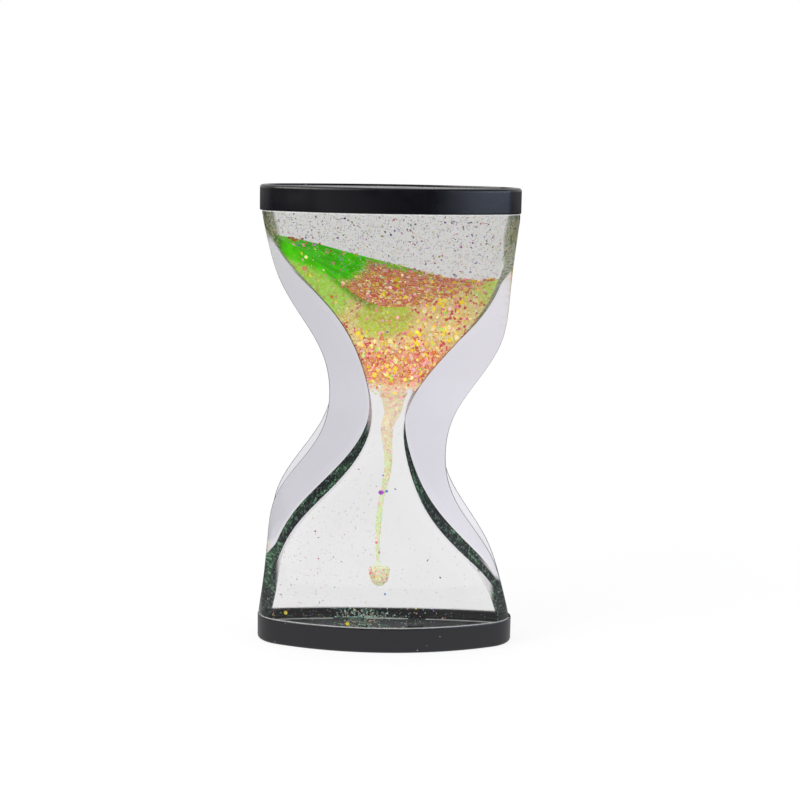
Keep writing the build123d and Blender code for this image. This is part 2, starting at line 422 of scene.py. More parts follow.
def keep_values(piece, name, values):
    """Keeps a number at each point of a mesh, for its material."""
    attribute = piece.data.attributes.new(name, "FLOAT", "POINT")
    attribute.data.foreach_set("value", np.asarray(values, np.float32).ravel())


SEAM_REACH = 0.002 * MM


def close_seams(piece):
    """Merges points that lie together and turns the faces outwards."""
    work = bmesh.new()
    work.from_mesh(piece.data)
    bmesh.ops.remove_doubles(work, verts=work.verts, dist=SEAM_REACH)
    bmesh.ops.dissolve_degenerate(work, edges=work.edges, dist=SEAM_REACH)
    bmesh.ops.recalc_face_normals(work, faces=work.faces)
    work.to_mesh(piece.data)
    work.free()


def settle(piece, body, slot, *nodes):
    """Makes a finished piece ride on a body and stand for its nodes."""
    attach(piece, body)
    if nodes:
        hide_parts(*nodes)


# Vessel


def wing_reach(points):
    """How far points lie outside the chamber's walls in the front view; below zero over the chamber."""
    x = points[..., 0]
    level = np.clip(points[..., 2], FLOOR, CEILING)
    right = np.interp(level, WALL[:, 1], WALL[:, 0])
    left = -np.interp(HEIGHT - level, WALL[:, 1], WALL[:, 0])
    return np.maximum(x - right, left - x)


class VesselSettings(bpy.types.PropertyGroup):
    """Colours, edge and refraction of the vessel"""

    painted_wing_tint: FloatVectorProperty(
        name="Wing tint", description="Colour seen through the solid sides", subtype="COLOR",
        default=(0.69, 0.677, 0.735), min=0.0, max=1.0,
    )
    chamber_tint: FloatVectorProperty(
        name="Chamber tint", description="Colour seen through the lower hollow", subtype="COLOR",
        default=(0.845, 0.84, 0.85), min=0.0, max=1.0,
    )
    upper_tint: FloatVectorProperty(
        name="Upper tint", description="Colour seen through the upper hollow", subtype="COLOR",
        default=(0.675, 0.67, 0.662), min=0.0, max=1.0,
    )
    edge_round: FloatProperty(
        name="Edge round", description="Radius of the waved side edges", unit="LENGTH", default=0.0005,
    )
    acrylic_index: FloatProperty(
        name="Acrylic index", description="Refraction of the clear acrylic", default=1.49,
    )
    wall_index: FloatProperty(
        name="Wall index", description="Refraction from the liquid into the acrylic", default=1.064,
    )


def clear_acrylic(settings):
    """Clear acrylic: grey and a little lilac in the solid wings, a painted tint that stands in for the
    darker surroundings seen through them, with painted shade that darkens the left wing. Clearer over
    the hollow, with painted light in strips beside the walls, where the upper half is greyer, with a
    painted dark line along the edges of its waved sides and with frosted cut edges where it meets the
    caps."""
    material, start = new_finish("clear_acrylic")
    reach = kept_value(start, "wing_reach")
    edge = kept_value(start, "edge_line")
    place = object_place(start)
    level = axis_mm(place, 2)
    haze = noise(place, 60.0, 3.0)
    # Painted shade: the wings take a lighter copy of the tint to the right and a darker copy to the left
    shade = haze * 0.4 + axis_mm(place, 0).ease(-30.0, 30.0, 0.75, 0.0)
    painted_wing = shade.mix(times(settings.painted_wing_tint, 1.16), times(settings.painted_wing_tint, 0.93))
    # Painted light: the hollow is lighter in strips beside the walls
    painted_wall_strip = reach.ease(-9.0, -6.5)
    hollow = (painted_wall_strip * 0.8).mix(opaque(settings.chamber_tint), (0.88, 0.875, 0.88, 1.0))
    hollow = level.ease(94.0, 112.0).mix(hollow, opaque(settings.upper_tint))
    colour = reach.ease(-0.7, 0.3).mix(hollow, painted_wing)
    # Painted shade: a dark line along the edges of the waved sides
    colour = (edge.ease(0.2, 0.9) * 0.9).mix(colour, (0.02, 0.02, 0.022, 1.0))
    clear = principled(start, {
        "Base Color": colour,
        "Roughness": 0.0,
        "IOR": settings.acrylic_index,
        "Transmission Weight": 1.0,
    })
    cut = kept_value(start, "cut_edge").ease(0.55, 0.75)
    frost = noise(place, 900.0, 3.0).ease(0.35, 0.65)
    sawn = principled(start, {
        "Base Color": frost.mix((0.95, 0.95, 0.93, 1.0), (0.75, 0.75, 0.7, 1.0)), "Roughness": 0.6,
    })
    side = kept_value(start, "waved_side") > 0.5
    along = start.node("ShaderNodeLayerWeight", None, {"Blend": 0.5}, "Facing").ease(0.45, 0.75)
    bare = start.node("ShaderNodeBsdfTransparent", None, {"Color": (0.97, 0.97, 0.98, 1.0)})
    clear = mixed(side * along, clear, bare)
    show(mixed(cut * 0.45, clear, sawn))
    return material


# Flecks of the film on the chamber's walls, dark because they paint the shade seen along the wall as well
# as the glitter
FILM_BLACK = [
    (0.006, 0.009, 0.008), (0.014, 0.024, 0.019), (0.004, 0.006, 0.006), (0.03, 0.05, 0.04),
    (0.009, 0.014, 0.012), (0.11, 0.17, 0.14),
]
FILM_GREEN = [
    (0.02, 0.06, 0.03), (0.045, 0.13, 0.06), (0.012, 0.03, 0.018), (0.07, 0.2, 0.09),
    (0.03, 0.08, 0.045), (0.2, 0.42, 0.22),
]
FILM_RUST = [(0.2, 0.07, 0.04), (0.34, 0.13, 0.08), (0.12, 0.06, 0.04), (0.5, 0.28, 0.16)]
FILM_OLIVE = [
    (0.2, 0.25, 0.11), (0.34, 0.4, 0.2), (0.13, 0.16, 0.07), (0.5, 0.5, 0.22), (0.26, 0.33, 0.16),
    (0.52, 0.42, 0.26),
]

# Levels between which that film thins above the foot, turns rusty, turns olive and fills the corners
FOOT_LEVELS = (14.0, 36.0)
RUST_LEVELS = (66.0, 72.0)
OLIVE_LEVELS = (90.0, 104.0)
CORNER_LEVELS = (115.0, 127.0)


def chamber_face(settings):
    """Inside of the hollow, where acrylic meets liquid. On the side walls a film of fine glitter
    clings: clear between the flecks when seen square on, and seen along the wall a dark film, painted
    shade that stands in for the total reflection in the wall as well as the glitter, green below, rusty
    at the neck and olive in the upper corners."""
    material, start = new_finish("chamber_face")
    place = object_place(start)
    level = axis_mm(place, 2)
    cloud = noise(place, 45.0, 3.0)
    clear = principled(start, {
        "Base Color": cloud.ease(0.35, 0.7).mix((0.98, 0.98, 0.98, 1.0), (0.95, 0.955, 0.95, 1.0)),
        "Roughness": 0.0,
        "IOR": settings.wall_index,
        "Transmission Weight": 1.0,
    })
    chance = first_of(cells(place, 2200.0, "Color"))
    drawn_out = place.node("ShaderNodeMapping", None, {"Vector": place, "Scale": (1.0, 0.13, 1.0)})
    streak = first_of(cells(drawn_out, 2600.0, "Color"))
    facing = start.node("ShaderNodeLayerWeight", None, {"Blend": 0.5}, "Facing")
    along = facing.ease(0.3, 0.62)
    corner = level.ease(*CORNER_LEVELS)
    flecks = (chance > 0.94) * 0.7
    chance = chance + (streak - chance) * along * (1 - corner)
    patches = noise(place, 110.0, 2.0).ease(0.48, 0.66)
    colour = patches.mix(fleck_ramp(chance, FILM_BLACK), fleck_ramp(chance, FILM_GREEN))
    colour = level.ease(*RUST_LEVELS).mix(colour, fleck_ramp(chance, FILM_RUST))
    colour = level.ease(*OLIVE_LEVELS).mix(colour, fleck_ramp(chance, FILM_OLIVE))
    film = principled(start, {"Base Color": colour, "Roughness": 0.6, "Specular IOR Level": 0.0})
    reach = kept_value(start, "wing_reach")
    foot = level.ease(*FOOT_LEVELS, 1.0, 0.0)
    clings = ((reach + 0.3 + foot * 2.3 + corner * 2.6) / (corner + 0.25)).ease(0.0, 1.0)
    # Painted shade: seen along the wall, near the foot and in the upper corners the wall turns to the dark
    # film
    dark_along_wall = along.largest((foot + corner).ease(0.0, 0.25) * facing.ease(0.04, 0.16))
    cover = dark_along_wall.largest(flecks) * clings * level.ease(100.0, 114.0, 0.97, 0.8)
    across = axis_mm(place, 0)
    low_right = across.ease(0.0, 10.0) * level.ease(22.0, 27.0, 1.0, 0.0)
    on_left = across.ease(-10.0, 0.0, 1.0, 0.0)
    high_left = on_left * level.ease(112.0, 116.0) * level.ease(122.0, 126.0, 1.0, 0.0)
    deep = axis_mm(place, 1)
    bare = deep.ease(2.5, 5.5) * low_right + deep.ease(-3.0, 0.0) * high_left
    neck = level.ease(65.0, 71.0) * level.ease(76.0, 84.0, 1.0, 0.0) * 0.4
    show(mixed(cover * (1 - bare) * (1 - neck), clear, film))
    return material


# Levels of body and chamber, points along the front and round a corner, and the chamber's corner radius
BODY_LEVELS = 132
CHAMBER_LEVELS = 136
FRONT_POINTS = 72
CORNER_POINTS = 5
CHAMBER_CORNER = 0.15

# Numbers of the waved body and of the chamber among the runs of rings, up the outside and down inside
BODY_RUN = 1
CHAMBER_RUN = 4


class TIMER_OT_vessel(bpy.types.Operator):
    """Clear hourglass body with waved sides, hollow from end to end"""

    bl_idname = "liquid_timer.vessel"
    bl_label = "Clear vessel"

    def execute(self, context):
        settings = context.scene.timer_vessel
        rim = CAP_HEIGHT
        top = HEIGHT - CAP_HEIGHT
        low = CAP_FLOOR
        high = HEIGHT - CAP_FLOOR
        body = np.linspace(rim, top, BODY_LEVELS)
        hollow = np.linspace(CEILING, FLOOR, CHAMBER_LEVELS)
        level = np.concatenate([[low, rim], body, [top, high], [high, CEILING], hollow, [FLOOR, low]])
        insets = [SPIGOT_INSET, BODY_INSET, SPIGOT_INSET, MOUTH_INSET, CHAMBER_INSET, MOUTH_INSET]
        counts = [2, BODY_LEVELS, 2, 2, CHAMBER_LEVELS, 2]
        inset = np.repeat(insets, counts)
        run = np.repeat(np.arange(len(counts)), counts)
        waved = run == BODY_RUN
        in_chamber = run == CHAMBER_RUN
        uncut = HALF_LENGTH - inset - UNCUT_SLACK
        right = np.where(waved, np.minimum(right_edge(level), uncut), uncut)
        left = np.where(waved, -np.minimum(right_edge(HEIGHT - level), uncut), -uncut)
        right = np.where(in_chamber, np.minimum(right_wall(level), uncut), right)
        left = np.where(in_chamber, np.maximum(left_wall(level), -uncut), left)
        corner = np.where(waved, settings.edge_round / MM, CHAMBER_CORNER)
        rings = cut_rings(level, inset, left, right, corner, FRONT_POINTS, CORNER_POINTS)
        rows, columns = rings.shape[:2]
        faces = grid_faces(rows, columns, True, True)
        piece = new_piece("clear_vessel", rings, faces, [clear_acrylic(settings), chamber_face(settings)])
        on_wall = in_chamber & np.roll(in_chamber, -1)
        piece.data.polygons.foreach_set("material_index", np.repeat(on_wall.astype(np.int32), columns))
        half = columns // 2
        column = np.arange(columns)
        from_end = np.minimum(column, columns - 1 - column)
        from_corner = np.minimum(from_end, np.abs(column - half + 0.5) - 0.5)
        bend = CORNER_POINTS // 2
        # Share of the painted dark line along each edge of the waved sides
        painted_edge_share = np.clip(1 - np.abs(from_corner - bend) / bend, 0.0, 1.0)
        on_side = np.isin(column, [0, half - 1, half, columns - 1])
        keep_values(piece, "wing_reach", wing_reach(rings))
        keep_values(piece, "waved_side", waved[:, None] * on_side[None, :])
        keep_values(piece, "edge_line", waved[:, None] * painted_edge_share[None, :])
        keep_values(piece, "cut_edge", np.repeat(waved & np.isin(level, [rim, top]), columns))
        piece.data.set_sharp_from_angle(angle=radians(35.0))
        settle(piece, "timer", "clear_acrylic", "clear_body", "upper_clear_liquid", "lower_clear_liquid")
        return {"FINISHED"}


# Caps, seal plates and plugs


class CapSettings(bpy.types.PropertyGroup):
    """Colours and edge of the caps"""

    plastic: FloatVectorProperty(
        name="Plastic", description="Colour of the moulded caps", subtype="COLOR",
        default=(0.0022, 0.0019, 0.0042), min=0.0, max=1.0,
    )
    plastic_light: FloatVectorProperty(
        name="Plastic, lighter", description="Colour of its rubbed patches", subtype="COLOR",
        default=(0.0038, 0.0033, 0.0064), min=0.0, max=1.0,
    )
    edge_round: FloatProperty(
        name="Edge round", description="Radius of the outer edge", unit="LENGTH", default=0.0009,
    )


def satin_plastic(name, dark, light, roughness, specular, cement_and_glint=0.0):
    """Moulded black plastic with a fine satin grain, faint rubbed patches and specks of dust, and
    where a width is given, a pale line round the plate's edge at the wall, partly cement and partly a
    painted glint, that the plugs interrupt."""
    material, start = new_finish(name)
    place = object_place(start)
    patches = noise(place, 70.0, 4.0)
    grain = noise(place, 2600.0, 2.0)
    dust = (cells(place, 420.0, "Distance") < 0.09) * (noise(place, 150.0) > 0.58)
    colour = patches.ease(0.35, 0.75).mix(opaque(dark), opaque(light))
    colour = (dust * 0.5).mix(colour, (0.5, 0.5, 0.52, 1.0))
    if cement_and_glint:
        across = axis_mm(place, 0)
        deep = axis_mm(place, 1)
        _, bow, _, radius = plan_sizes(CHAMBER_INSET + cement_and_glint)
        edge = across.math("SQRT", radius**2 - across * across) - (radius - bow)
        line = abs(deep) > edge + (noise(place, 260.0) - 0.5) * cement_and_glint
        for plug_x, plug_radius in PLUGS:
            line = line * (abs(across - plug_x) > plug_radius)
        # Painted highlight: the pale line is partly a glint along the plate's edge at the wall, partly
        # cement
        colour = (line * 0.85).mix(colour, (0.78, 0.82, 0.78, 1.0))
    show(principled(start, {
        "Base Color": colour,
        "Roughness": patches.ease(0.3, 0.7, roughness - 0.07, roughness + 0.09),
        "Specular IOR Level": specular,
        "Normal": bump(grain, 0.2, 0.00004),
    }))
    return material


def plan_ring(inset, count):
    """Points round the plan shape drawn in by inset, counter-clockwise from above."""
    half, bow, end, radius = plan_sizes(inset)
    join = np.arctan2(half - end, radius - bow)
    swing = np.linspace(-join, join, count)
    front = np.stack([radius * np.sin(swing), (radius - bow) - radius * np.cos(swing)], axis=-1)
    turn = np.linspace(join - pi / 2, pi / 2 - join, count // 2)[1:-1]
    side = np.stack([half - end + end * np.cos(turn), end * np.sin(turn)], axis=-1)
    return np.concatenate([front, side, -front, -side])


def cap_points(edge_round, count):
    """A cup with a rounded outer edge and a sunk panel: its section, as pairs of an inset and a height,
    carried round the plan shape."""
    turn = np.linspace(0.0, pi / 2, 7)
    outer = [(edge_round - edge_round * sin(a), edge_round - edge_round * cos(a)) for a in turn]
    panel = [(2.75, CAP_RECESS), (2.3, CAP_RECESS), (2.2, 0.42), (2.15, 0.1), (2.05, 0.0)]
    wall = [(0.0, edge_round + CAP_LIP), (0.0, CAP_HEIGHT - 2 * CAP_LIP), (0.0, CAP_HEIGHT - CAP_LIP)]
    lip = [(CAP_LIP * 0.3, CAP_HEIGHT - CAP_LIP * 0.3), (CAP_LIP, CAP_HEIGHT)]
    inside = [(CAP_WALL, CAP_HEIGHT), (CAP_WALL, CAP_FLOOR), (CAP_WALL + 0.3, CAP_FLOOR)]
    section = [*panel, *outer, *wall, *lip, *inside]
    rings = [plan_ring(inset, count) for inset, _ in section]
    heights = np.array([height for _, height in section])
    flat = np.stack(rings)
    level = np.broadcast_to(heights[:, None, None], (*flat.shape[:2], 1))
    return np.concatenate([flat, level], axis=-1)


# Points along a cap's front, and the last rows of its faces that have the inside's finish
CAP_POINTS = 72
INSIDE_ROWS = 3

# Dark and lighter colour of the plates and of the plugs, and the width of the pale line round a plate,
# partly cement and partly a painted glint
PLATE_COLOURS = [(0.004, 0.006, 0.008), (0.01, 0.013, 0.016)]
RUBBER_COLOURS = [(0.003, 0.004, 0.005), (0.006, 0.007, 0.009)]
PLATE_CEMENT_AND_GLINT = 1.5


class TIMER_OT_caps(bpy.types.Operator):
    """Two moulded black caps, and finishes for the seal plates and plugs"""

    bl_idname = "liquid_timer.caps"
    bl_label = "Caps, plates and plugs"

    def execute(self, context):
        settings = context.scene.timer_caps
        colours = [settings.plastic, settings.plastic_light]
        plastic = satin_plastic("cap_plastic", *colours, roughness=0.27, specular=0.8)
        inside = satin_plastic("cap_inside", *colours, roughness=0.6, specular=0.03)
        low = cap_points(settings.edge_round / MM, CAP_POINTS)
        high = low * np.array([-1.0, 1.0, -1.0]) + np.array([0.0, 0.0, HEIGHT])
        rows, columns = low.shape[:2]
        faces = tube_faces(rows, columns)
        for name, points in (("bottom_cap", low), ("top_cap", high)):
            cap = new_piece(name + "_moulding", points, faces, [plastic, inside])
            index = np.zeros(len(faces), np.int32)
            index[(rows - 1 - INSIDE_ROWS) * columns:-2] = 1
            index[-1] = 1
            cap.data.polygons.foreach_set("material_index", index)
            cap.data.set_sharp_from_angle(angle=radians(40.0))
            settle(cap, "timer", "black_cap", name)
        plate = satin_plastic("seal_plate", *PLATE_COLOURS, roughness=0.4, specular=0.06, cement_and_glint=PLATE_CEMENT_AND_GLINT)
        rubber = satin_plastic("plug_rubber", *RUBBER_COLOURS, roughness=0.5, specular=0.06)
        finishes = {
            "top_seal_plate": plate, "bottom_seal_plate": plate, "fill_plug": rubber, "vent_plug": rubber,
        }
        for name, finish in finishes.items():
            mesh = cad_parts[name].data
            mesh.materials.clear()
            mesh.materials.append(finish)
        return {"FINISHED"}


# Coloured pool


class PoolSettings(bpy.types.PropertyGroup):
    """Colours of the pool"""

    green: FloatVectorProperty(
        name="Green", description="Colour of the clear part of the surface", subtype="COLOR",
        default=(0.08, 0.78, 0.004), min=0.0, max=1.0,
    )
    pale_green: FloatVectorProperty(
        name="Pale green", description="Colour of the front, to the left", subtype="COLOR",
        default=(0.40, 0.92, 0.08), min=0.0, max=1.0,
    )
    olive: FloatVectorProperty(
        name="Olive", description="Colour of the front where the glitter is thin", subtype="COLOR",
        default=(0.58, 0.82, 0.07), min=0.0, max=1.0,
    )
    copper: FloatVectorProperty(
        name="Copper", description="Colour of the surface under thick glitter", subtype="COLOR",
        default=(0.56, 0.22, 0.08), min=0.0, max=1.0,
    )
    peach: FloatVectorProperty(
        name="Peach", description="Colour of the front behind pink and gold glitter", subtype="COLOR",
        default=(0.9, 0.74, 0.3), min=0.0, max=1.0,
    )
    red: FloatVectorProperty(
        name="Red", description="Colour of the pool's tip", subtype="COLOR",
        default=(0.78, 0.27, 0.12), min=0.0, max=1.0,
    )


# Zones of the pool, for its material and its flakes: the clear green of its surface, and on its front
# a pale band at the left, a pale patch in the middle and the red tip
GREEN_LEAN = 0.41
GREEN_EDGE = 8.9
GREEN_SOFT = 2.5
BAND_ACROSS = -0.8
BAND_UP = 0.6
BAND_LEVEL = 108.0
BAND_EDGE = 6.0
BAND_SOFT = (-3.0, 5.0)
PATCH_X = -1.6
PATCH_LEVEL = 100.5
PATCH_WIDE = 9.0
PATCH_TALL = 6.5
PATCH_SOFT = (0.5, 1.3)
TIP_LEVEL = 93.0

# Lean of the front's zones with the depth, and how much higher that puts them on the front wall
ZONE_LEAN = 0.104
FRONT_LIFT = 1.5

# Flecks of glitter in the liquid's own colour: on the surface, in the front, at the tip, and large ones
DARK_FLECKS = [
    (0.45, 0.09, 0.06), (0.72, 0.26, 0.13), (0.82, 0.5, 0.12), (0.96, 0.75, 0.1), (0.62, 0.12, 0.12),
    (0.45, 0.36, 0.08), (0.9, 0.42, 0.3),
]
LIGHT_FLECKS = [
    (0.86, 0.42, 0.2), (0.92, 0.68, 0.26), (0.96, 0.8, 0.12), (0.96, 0.6, 0.45), (1.0, 0.94, 0.6),
    (0.7, 0.62, 0.12), (0.97, 0.86, 0.68),
]
RED_FLECKS = [
    (0.8, 0.2, 0.1), (0.92, 0.6, 0.2), (0.95, 0.72, 0.1), (0.9, 0.3, 0.2), (1.0, 0.86, 0.5),
    (0.85, 0.36, 0.12), (0.96, 0.5, 0.36),
]
BIG_FLECKS = [
    (0.85, 0.14, 0.09), (1.0, 0.8, 0.06), (0.98, 0.45, 0.42), (1.0, 0.92, 0.6), (0.7, 0.12, 0.13),
]

# Turns that settle a point of the pool, its least depth, and the share of its gap left off at the sides
SETTLING_TURNS = 40
LEAST_DEPTH = 0.05
SIDE_SHARE = 0.8

# Points of the pool across, up and from front to back
POOL_ACROSS = 110
POOL_UP = 70
POOL_DEEP = 36


def pool_top(x, y):
    """Height of the pool's surface: a straight slope from its line in front to its line behind."""
    share = (y + HALF_WIDTH) / (2 * HALF_WIDTH)
    front = np.interp(x, POOL_FRONT[:, 0], POOL_FRONT[:, 1])
    back = np.interp(x, POOL_BACK[:, 0], POOL_BACK[:, 1])
    return front + (back - front) * share


def pool_sheet(across, deep, up, gap):
    """Pool points from three shares: across from wall to wall, deep from front to back and up from
    the foot to the surface. Height and width depend on each other, so they are settled by turns.
    Near the foot the pool draws in, so that its underside is round."""
    across, deep, up = np.broadcast_arrays(across, deep, up)
    x = np.zeros(across.shape)
    level = np.full(across.shape, POOL_FOOT)
    for _ in range(SETTLING_TURNS):
        drawn = gap + FOOT_ROUND * (1 - np.clip((level - POOL_FOOT) / FOOT_TALL, 0.0, 1.0)) ** 2
        y = (2 * deep - 1) * np.maximum(half_depth(x, CHAMBER_INSET) - drawn, LEAST_DEPTH)
        level = (level + POOL_FOOT + up * (pool_top(x, y) - POOL_FOOT)) / 2
        left = left_wall(level) + drawn - gap * SIDE_SHARE
        right = right_wall(level) - drawn + gap * SIDE_SHARE
        x = left + across * (right - left)
    y = (2 * deep - 1) * np.maximum(half_depth(x, CHAMBER_INSET) - drawn, LEAST_DEPTH)
    return np.stack([x, y, level], axis=-1)


def pool_liquid(settings):
    """Dyed green liquid, clouded by glitter, with a painted glow, strongest on its surface, that stands
    in for light passing through it. Its surface is clear green on the left and thick with copper
    flecks on the right. Its front goes from pale green on the left to peach, and to red at the tip,
    and breaks up into pale flecks at its foot."""
    material, start = new_finish("pool_liquid")
    place = object_place(start)
    x = axis_mm(place, 0)
    y = axis_mm(place, 1)
    level = axis_mm(place, 2)
    up = level + y * ZONE_LEAN
    wander = noise(place, 130.0, 3.0) * 12.0 - 6.0
    normal = start.node("ShaderNodeNewGeometry", None, None, "True Normal")
    on_top = axis_of(normal, 2).ease(0.2, 0.4)

    chance = first_of(cells(place, 2600.0, "Color"))
    big_chance = first_of(cells(place, 1300.0, "Color"))
    big_flecks = fleck_ramp(big_chance, BIG_FLECKS)

    clear_green = (y * GREEN_LEAN - x - GREEN_EDGE + wander * 0.5).ease(-GREEN_SOFT, GREEN_SOFT)
    rim = (y + wander * 0.4).ease(8.0, 12.0) * x.ease(4.0, 14.0, 1.0, 0.0) * 0.8
    clear_green = clear_green.largest(rim)
    mottle = noise(place, 260.0, 3.0).ease(0.35, 0.7)
    dyed = mottle.mix(opaque(settings.green), times(settings.green, 0.7))
    green = x.ease(-34.0, -24.0, 0.45, 0.0).mix(dyed, opaque(settings.pale_green))
    copper = (chance * 0.4 + 0.5).mix(opaque(settings.copper), fleck_ramp(chance, DARK_FLECKS))
    copper = (big_chance > 0.72).mix(copper, big_flecks)
    copper = (x.ease(24.0, 34.0) * 0.55).mix(copper, opaque(settings.olive))
    surface = clear_green.mix(copper, green)

    below = kept_value(start, "below_surface")
    left_band = x * BAND_ACROSS + (up - BAND_LEVEL) * BAND_UP - BAND_EDGE
    left_band = (left_band + wander * 0.6).ease(*BAND_SOFT)
    patch_x = (x - PATCH_X) / PATCH_WIDE
    patch_up = (up - PATCH_LEVEL) / PATCH_TALL
    patch = (patch_x * patch_x + patch_up * patch_up + wander * 0.05).ease(*PATCH_SOFT, 1.0, 0.0)
    tip = (TIP_LEVEL - up + wander * 0.5).ease(-2.0, 6.0)
    pale = left_band.largest(patch)
    body = tip.mix(opaque(settings.peach), opaque(settings.red))
    body = pale.mix(body, left_band.mix(opaque(settings.olive), opaque(settings.pale_green)))
    flecks = tip.mix(fleck_ramp(chance, LIGHT_FLECKS), fleck_ramp(chance, RED_FLECKS))
    front = ((1 - pale * 0.62) * (chance * 0.35 + 0.45)).mix(body, flecks)
    front = ((big_chance > 0.78) * (1 - pale * 0.7)).mix(front, big_flecks)
    right_corner = x.ease(19.0, 30.0) * up.ease(101.0, 109.0) * 0.45
    front = right_corner.mix(front, opaque(settings.pale_green))
    lip = (below - x.ease(-29.0, -12.0, 4.0, 0.0) + wander * 0.3).ease(-1.2, 1.8, 1.0, 0.0)
    lip = lip * x.ease(-16.0, -11.0, 0.95, 0.0)
    front = lip.mix(front, dyed)
    shadow = below.ease(0.2, 3.0, 0.6, 0.0) * x.ease(-20.0, -13.0) * x.ease(-7.0, -1.0, 1.0, 0.0)
    front = shadow.mix(front, times(settings.green, 0.35))
    in_stream = abs(x - STREAM_X).ease(STREAM_NEAR, STREAM_FAR, 1.0, 0.0)
    filled = level.ease(POOL_FOOT, POOL_FOOT + FOOT_FADE, 0.04, 1.01)
    washed = (level + wander * 0.3).ease(POOL_FOOT + 2.0, POOL_FOOT + FOOT_FADE, 0.75, 0.0)
    front = washed.mix(front, (0.93, 0.86, 0.6, 1.0))
    colour = on_top.mix(front, surface)
    # Painted light: a glow, strongest on the surface, that stands in for light passing through the liquid
    painted_glow = on_top * 0.36 + (left_band * 0.04 + washed * 0.3 + lip * 0.12) * (1 - on_top) + 0.12
    show(principled(start, {
        "Base Color": colour,
        "Roughness": chance.ease(0.0, 1.0, 0.25, 0.55),
        "Alpha": big_chance < filled + in_stream,
        "IOR": 1.06,
        "Emission Color": painted_glow.mix((0.0, 0.0, 0.0, 1.0), colour),
        "Emission Strength": 1.0,
        "Normal": bump(chance, 0.4, 0.0003),
    }))
    return material


class TIMER_OT_pool(bpy.types.Operator):
    """Coloured liquid still in the upper chamber, dished towards the front"""

    bl_idname = "liquid_timer.pool"
    bl_label = "Coloured pool"

    def execute(self, context):
        settings = context.scene.timer_pool
        across = np.linspace(0.0, 1.0, POOL_ACROSS)[None, :]
        up = np.linspace(0.0, 1.0, POOL_UP)[:, None]
        deep = np.linspace(0.0, 1.0, POOL_DEEP)
        sheets = [
            pool_sheet(across, 0.0, up, POOL_GAP),
            pool_sheet(across[:, ::-1], 1.0, up, POOL_GAP),
            pool_sheet(1.0, deep[None, :], up, POOL_GAP),
            pool_sheet(0.0, deep[None, ::-1], up, POOL_GAP),
            pool_sheet(across, deep[:, None], 1.0, POOL_GAP),
            pool_sheet(across[:, ::-1], deep[:, None], 0.0, POOL_GAP),
        ]
        points = [sheet.reshape(-1, 3) for sheet in sheets]
        offsets = np.cumsum([0] + [len(p) for p in points[:-1]])
        faces = [grid_faces(*sheet.shape[:2], False, False) + o for sheet, o in zip(sheets, offsets)]
        points = np.concatenate(points)
        piece = new_piece("pool", points, np.concatenate(faces), [pool_liquid(settings)])
        keep_values(piece, "below_surface", pool_top(points[:, 0], points[:, 1]) - points[:, 2])
        close_seams(piece)
        piece.data.set_sharp_from_angle(angle=radians(50.0))
        settle(piece, "timer", "green_liquid", "coloured_liquid")
        return {"FINISHED"}


# Glitter


# A flake one wide and one thick: six corners below, then six above
CORNERS = np.arange(6)
HEX = np.stack([np.cos(CORNERS * pi / 3), np.sin(CORNERS * pi / 3)], axis=-1) / 2
FLAKE_TOP = np.concatenate([HEX, np.full((len(HEX), 1), 0.5)], axis=1)
FLAKE_POINTS = np.concatenate([FLAKE_TOP * [1, 1, -1], FLAKE_TOP])
FLAKE_THICKNESS = 0.05

# Flakes in the pool by colour: how many are tried, and the least and the greatest width
POOL_FLAKES = {
    "gold": (1700, 0.32, 1.7), "copper": (1500, 0.32, 1.6), "pink": (1500, 0.32, 1.4),
    "violet": (90, 0.3, 1.2), "lime": (260, 0.32, 1.4),
}

# Random numbers up to which a flake lies on the pool's front and from which it lies on the surface
FRONT_UNTIL = 0.42
TOP_FROM = 0.72
FLAKE_LIFT = 0.2

# Copper flakes lie thin on the front above the tip, but large ones also float on the green at the left
COPPER_SHARE = 0.15
COPPER_X = -9.0
COPPER_LEVEL = 103.0
COPPER_LARGE = 0.75


def flake_piece(name, places, widths, turns, shades, material, thickness=FLAKE_THICKNESS):
    """Six-sided flakes as one mesh: each is a unit flake made wide, turned and put in its place."""
    size = np.stack([widths, widths, np.full(len(places), thickness)], axis=-1)
    points = np.einsum("nij,nkj->nki", turns, FLAKE_POINTS[None] * size[:, None]) + places[:, None]
    first = np.arange(len(places))[:, None] * len(FLAKE_POINTS)
    ends = np.concatenate([first + CORNERS[::-1], first + CORNERS + len(HEX)])
    after = (CORNERS + 1) % len(HEX)
    sides = np.stack([CORNERS, after, after + len(HEX), CORNERS + len(HEX)], axis=-1)
    sides = (first[:, :, None] + sides[None]).reshape(-1, 4)
    piece = new_piece(name, points, ends.tolist() + sides.tolist(), [material], smooth=False)
    keep_values(piece, "shade", np.repeat(shades, len(FLAKE_POINTS)))
    return piece


def random_turns(rng, facing, scatter):
    """Turn matrices whose third axis is near a facing direction, scattered by a share of random."""
    lean = facing + scatter * rng.normal(size=facing.shape)
    third = lean / np.linalg.norm(lean, axis=1, keepdims=True)
    other = rng.normal(size=facing.shape)
    first = np.cross(other, third)
    first /= np.linalg.norm(first, axis=1, keepdims=True)
    return np.stack([first, np.cross(third, first), third], axis=-1)


